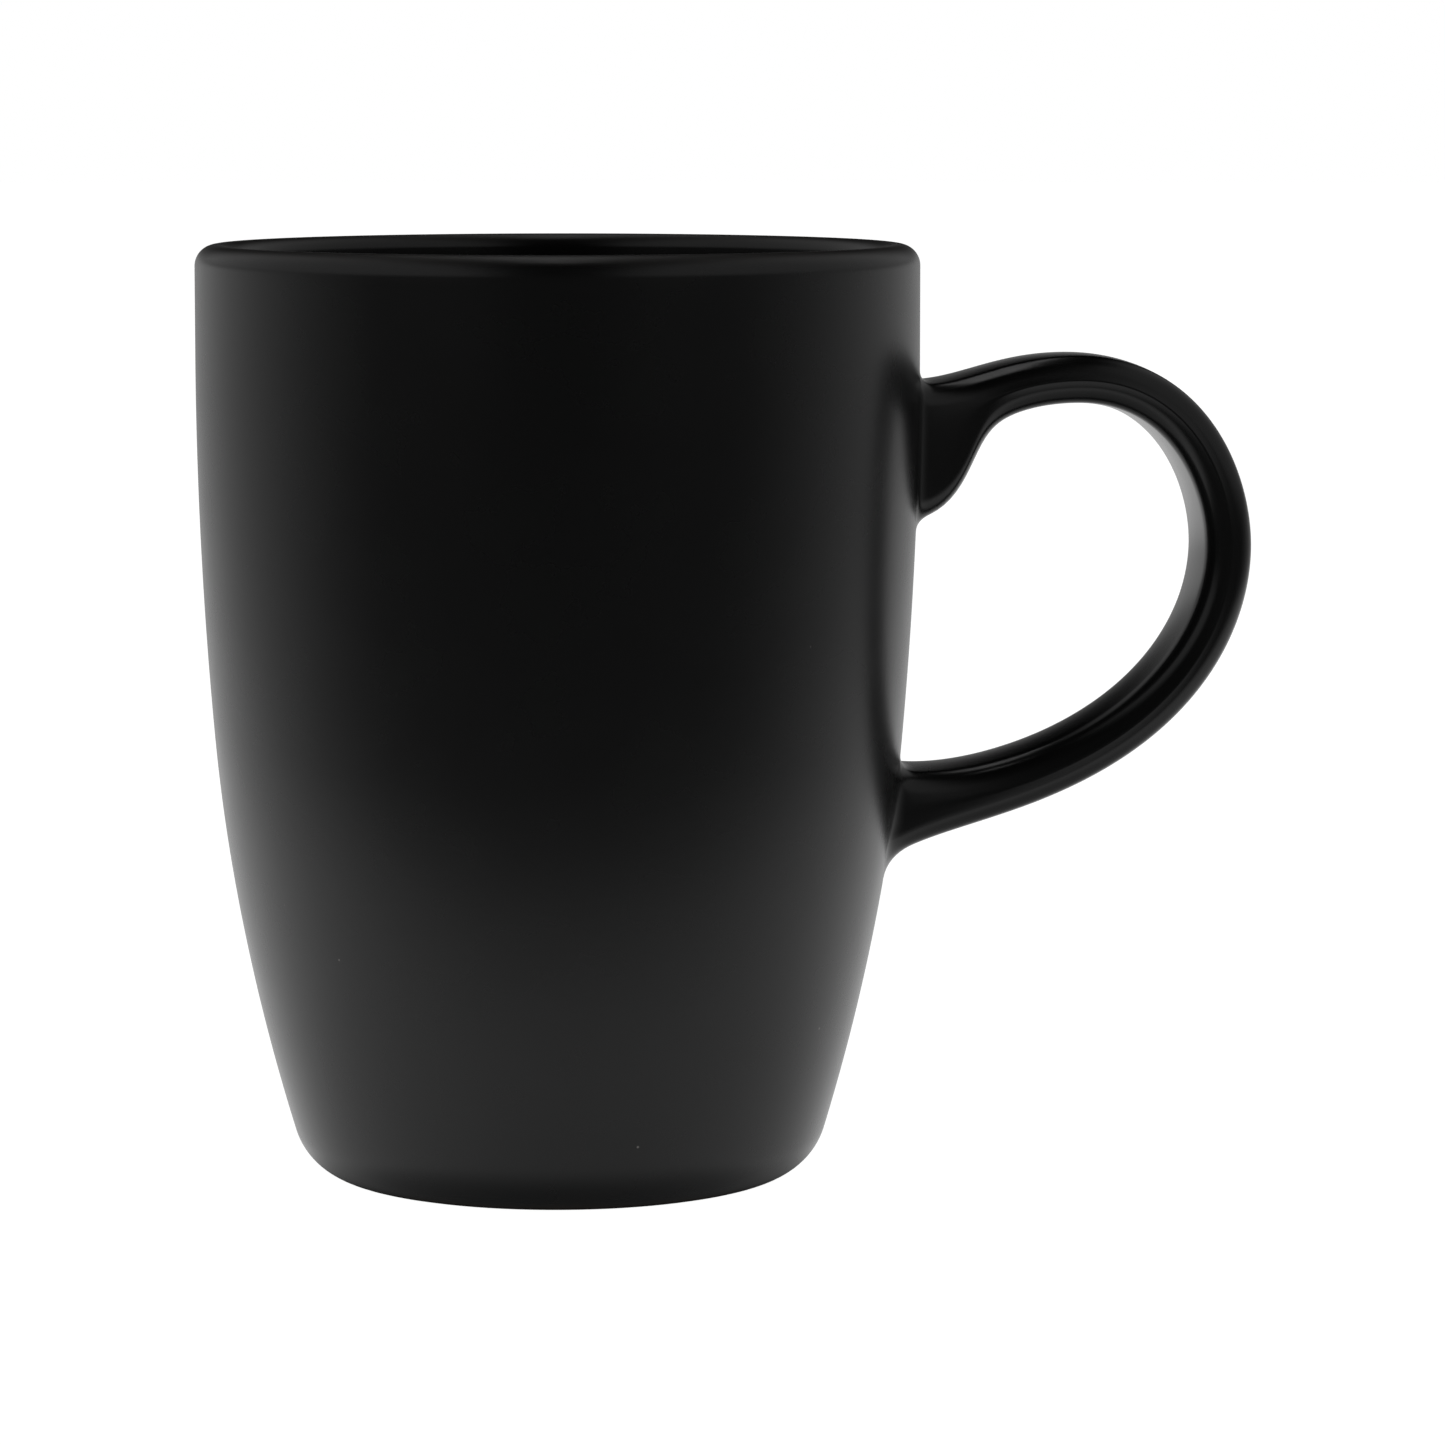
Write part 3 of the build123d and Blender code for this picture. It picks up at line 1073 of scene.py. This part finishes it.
class Studio(bpy.types.Operator):
    """Set up the pale floor, the soft light and the camera"""

    bl_idname = "mug.studio"
    bl_label = "Studio"

    # Where the lamps stand, in degrees round from straight behind the mug.
    lamp_turns = (-12.4, -3.4, 6.2)

    def execute(self, context):
        studio = context.scene.studio_sizes
        context.scene.world = studio_world(studio.view_turn)
        context.scene.view_settings.view_transform = "Standard"
        pale_floor(studio.floor_radius)
        foot_shade(studio.shade_radius, studio.shade_fade)

        forward = Vector((math.sin(studio.view_turn), math.cos(studio.view_turn), 0))
        aside = Vector((math.cos(studio.view_turn), -math.sin(studio.view_turn), 0))
        upward = Vector((0, 0, 1))
        lip = upward * context.scene.cup_sizes.height
        for number, degrees in enumerate(self.lamp_turns, start=1):
            turn = math.radians(degrees)
            level_way = aside * math.sin(turn) + forward * math.cos(turn)
            way = level_way * math.cos(studio.lamp_rise) + upward * math.sin(studio.lamp_rise)
            light = bpy.data.lights.new(f"overhead_lamp_{number}", "AREA")
            light.shape = "RECTANGLE"
            light.size = studio.lamp_width
            light.size_y = studio.lamp_length
            light.energy = studio.lamp_power
            lamp = bpy.data.objects.new(light.name, light)
            lamp.visible_camera = False
            look_at(lamp, lip + way * studio.lamp_distance, lip)

        camera = bpy.data.cameras.new("camera")
        camera.lens = studio.lens
        camera.sensor_width = 36
        camera_object = bpy.data.objects.new("camera", camera)
        place = upward * studio.camera_height - forward * studio.camera_distance
        aim = aside * studio.aim_side + upward * studio.aim_height
        look_at(camera_object, place, aim)
        context.scene.camera = camera_object
        return {"FINISHED"}


class MugPanel(bpy.types.Panel):
    """Sizes, finishes and making of the mug"""

    bl_idname = "VIEW3D_PT_satin_mug"
    bl_label = "Satin Mug"
    bl_space_type = "VIEW_3D"
    bl_region_type = "UI"
    bl_category = "Mug"

    def draw(self, context):
        for name in GROUPS:
            box = self.layout.box()
            box.label(text=name.replace("_", " ").capitalize())
            group = getattr(context.scene, name)
            for setting in group.__annotations__:
                box.prop(group, setting)
        for operator in OPERATORS:
            self.layout.operator(operator.bl_idname)


GROUPS = {
    "cup_sizes": CupSizes,
    "handle_sizes": HandleSizes,
    "glaze_finish": GlazeFinish,
    "clay_finish": ClayFinish,
    "studio_sizes": StudioSizes,
}
OPERATORS = (OuterCoat, LinerCoat, UndersideCoat, HandleCoat, BareClay, Studio)


def register():
    """Add the classes, and the sizes and finishes to the scene."""
    for group in (*GROUPS.values(), *OPERATORS, MugPanel):
        bpy.utils.register_class(group)
    for name, group in GROUPS.items():
        setattr(bpy.types.Scene, name, PointerProperty(type=group))


def unregister():
    """Take everything that register added away again."""
    for name in GROUPS:
        delattr(bpy.types.Scene, name)
    for group in reversed((*GROUPS.values(), *OPERATORS, MugPanel)):
        bpy.utils.unregister_class(group)


def main():
    """Make every piece and the studio."""
    register()
    for operator in OPERATORS:
        area, name = operator.bl_idname.split(".")
        getattr(getattr(bpy.ops, area), name)()


if __name__ == "__main__":
    main()
